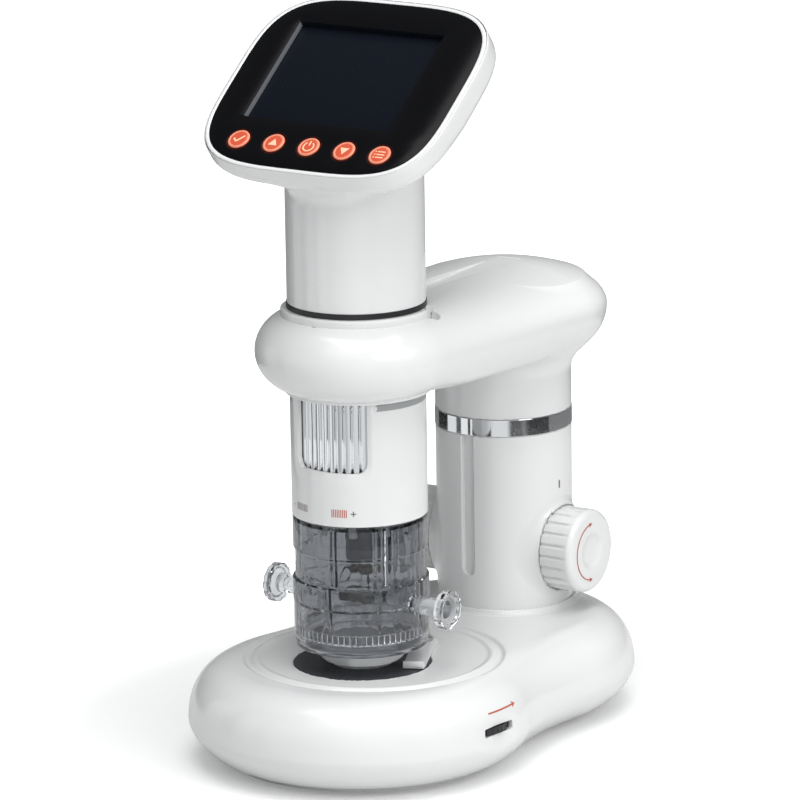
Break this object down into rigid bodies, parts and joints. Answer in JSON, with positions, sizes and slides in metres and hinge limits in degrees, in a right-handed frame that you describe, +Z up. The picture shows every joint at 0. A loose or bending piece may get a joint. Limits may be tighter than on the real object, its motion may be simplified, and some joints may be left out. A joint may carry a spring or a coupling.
{
  "type": "lcd digital microscope",
  "caption": "Digital microscope: a tube unit with a tilted screen head and clear specimen chamber, held in the collar of a rack-driven arm on a weighted stand with stage light.",
  "frame": {"origin": "centre of the footprint, on the table under the rubber feet", "axes": "+Z up; -Y is the front, where the screen faces; +X is the side with the brightness dial"},
  "size_m": [0.1234, 0.1934, 0.2648],
  "materials": {
    "white_shell": "glossy white moulding",
    "white_satin": "satin white moulding",
    "grey_plastic": "fine grained grey moulding",
    "light_grey_plastic": "fine grained light grey moulding",
    "black_plastic": "satin black moulding",
    "black_gloss": "polished black panel",
    "screen_glass": "dark screen, switched off",
    "key_orange": "orange red keys with pale symbols",
    "chrome": "polished",
    "steel": "zinc plated",
    "aluminium": "drawn tube, anodised",
    "brass": "machined",
    "rubber": "matt black",
    "clear_plastic": "clear polished moulding",
    "frosted_plastic": "frosted diffuser",
    "stage_dark": "dark satin stage disc",
    "circuit_board": "green solder mask",
    "silicone": "translucent silicone",
    "cell_wrap": "wrapped cells",
    "lens_glass": "polished lens",
    "specimen": "dried beetle"
  },
  "bodies": {
    "stand": {"base_shell": "white_shell", "base_plate": "light_grey_plastic", "rubber_feet": "rubber", "base_screws": "steel", "stage_plate": "stage_dark", "light_diffuser": "frosted_plastic", "lamp_board": "circuit_board", "dimmer_board": "circuit_board", "battery_cells": "cell_wrap", "battery_springs": "steel", "battery_door": "light_grey_plastic", "column_tube": "white_shell", "chrome_band": "chrome", "guide_rings": "grey_plastic", "shaft_bushes": "brass", "clip_screw": "steel"},
    "dial": {"brightness_dial": "black_plastic"},
    "clip": {"stage_clip": "white_satin"},
    "drive": {"focus_shaft": "steel", "focus_pinion": "brass", "focus_knob_right": "white_shell", "focus_knob_left": "white_shell"},
    "arm": {"arm_shell": "white_shell", "arm_cover": "white_satin", "mast_tube": "aluminium", "focus_rack": "brass", "arm_screws": "steel", "collar_liner": "white_shell"},
    "collar_ring": {"upper_ring": "black_plastic"},
    "tube_unit": {"barrel_sleeve": "white_shell", "neck_tube": "white_shell", "lower_ring": "grey_plastic", "inner_frame": "light_grey_plastic", "battery_pack": "cell_wrap", "main_board": "circuit_board", "camera_board": "circuit_board", "led_ring": "circuit_board", "head_housing": "white_shell", "head_bezel": "white_shell", "face_panel": "black_gloss", "lcd_panel": "screen_glass", "key_board": "circuit_board", "key_mat": "silicone", "charge_port": "steel", "card_slot": "steel", "head_screws": "steel"},
    "lens": {"lens_carriage": "black_plastic", "objective_glass": "lens_glass"},
    "ribbed_ring": {"focus_ring": "chrome"},
    "tick_key": {"key_tick": "key_orange"},
    "up_key": {"key_up": "key_orange"},
    "power_key": {"key_power": "key_orange"},
    "down_key": {"key_down": "key_orange"},
    "menu_key": {"key_menu": "key_orange"},
    "chamber": {"chamber_shell": "clear_plastic", "chamber_lens": "clear_plastic"},
    "specimen_holder": {"specimen_shaft": "clear_plastic", "specimen_knobs": "clear_plastic", "specimen_insect": "specimen"}
  },
  "joints": [
    {"name": "arm_lift", "type": "slide", "parent": "stand", "child": "arm", "axis": [0, 0, 1], "range_m": [0, 0.03]},
    {"name": "focus_turn", "type": "hinge", "parent": "stand", "child": "drive", "pos_m": [0, 0.05895, 0.0566], "axis": [1, 0, 0], "range_deg": [0, 215]},
    {"name": "unit_lift", "type": "slide", "parent": "arm", "child": "collar_ring", "axis": [0, 0, 1], "range_m": [0, 0.04]},
    {"name": "unit_swivel", "type": "hinge", "parent": "collar_ring", "child": "tube_unit", "pos_m": [0, -0.03505, 0.1623], "axis": [0, 0, 1], "range_deg": [-90, 90]},
    {"name": "ring_turn", "type": "hinge", "parent": "tube_unit", "child": "ribbed_ring", "pos_m": [0, -0.03505, 0.12], "axis": [0, 0, 1], "range_deg": [0, 272]},
    {"name": "lens_slide", "type": "slide", "parent": "tube_unit", "child": "lens", "axis": [0, 0, 1], "range_m": [0, 0.006]},
    {"name": "chamber_twist", "type": "hinge", "parent": "tube_unit", "child": "chamber", "pos_m": [0, -0.03505, 0.0886], "axis": [0, 0, 1], "range_deg": [0, 15]},
    {"name": "specimen_turn", "type": "hinge", "parent": "chamber", "child": "specimen_holder", "pos_m": [0, -0.03505, 0.0577], "axis": [1, 0, 0], "continuous": true},
    {"name": "dial_turn", "type": "hinge", "parent": "stand", "child": "dial", "pos_m": [0.04852, -0.03929, 0.0195], "axis": [0, 0, 1], "range_deg": [0, 270]},
    {"name": "clip_swing", "type": "hinge", "parent": "stand", "child": "clip", "pos_m": [0.0074, -0.00555, 0.0343], "axis": [0, 0, 1], "range_deg": [0, 25]},
    {"name": "tick_press", "type": "slide", "parent": "tube_unit", "child": "tick_key", "axis": [0, 0.6088, -0.7934], "range_m": [0, 0.00035], "stiffness_N_per_m": 400, "springref_m": -0.0005},
    {"name": "up_press", "type": "slide", "parent": "tube_unit", "child": "up_key", "axis": [0, 0.6088, -0.7934], "range_m": [0, 0.00035], "stiffness_N_per_m": 400, "springref_m": -0.0005},
    {"name": "power_press", "type": "slide", "parent": "tube_unit", "child": "power_key", "axis": [0, 0.6088, -0.7934], "range_m": [0, 0.00035], "stiffness_N_per_m": 400, "springref_m": -0.0005},
    {"name": "down_press", "type": "slide", "parent": "tube_unit", "child": "down_key", "axis": [0, 0.6088, -0.7934], "range_m": [0, 0.00035], "stiffness_N_per_m": 400, "springref_m": -0.0005},
    {"name": "menu_press", "type": "slide", "parent": "tube_unit", "child": "menu_key", "axis": [0, 0.6088, -0.7934], "range_m": [0, 0.00035], "stiffness_N_per_m": 400, "springref_m": -0.0005}
  ],
  "couplings": [
    {"joint": "focus_turn", "follows": "arm_lift", "rad_per_m": 125},
    {"joint": "ring_turn", "follows": "lens_slide", "rad_per_m": 785.4}
  ]
}
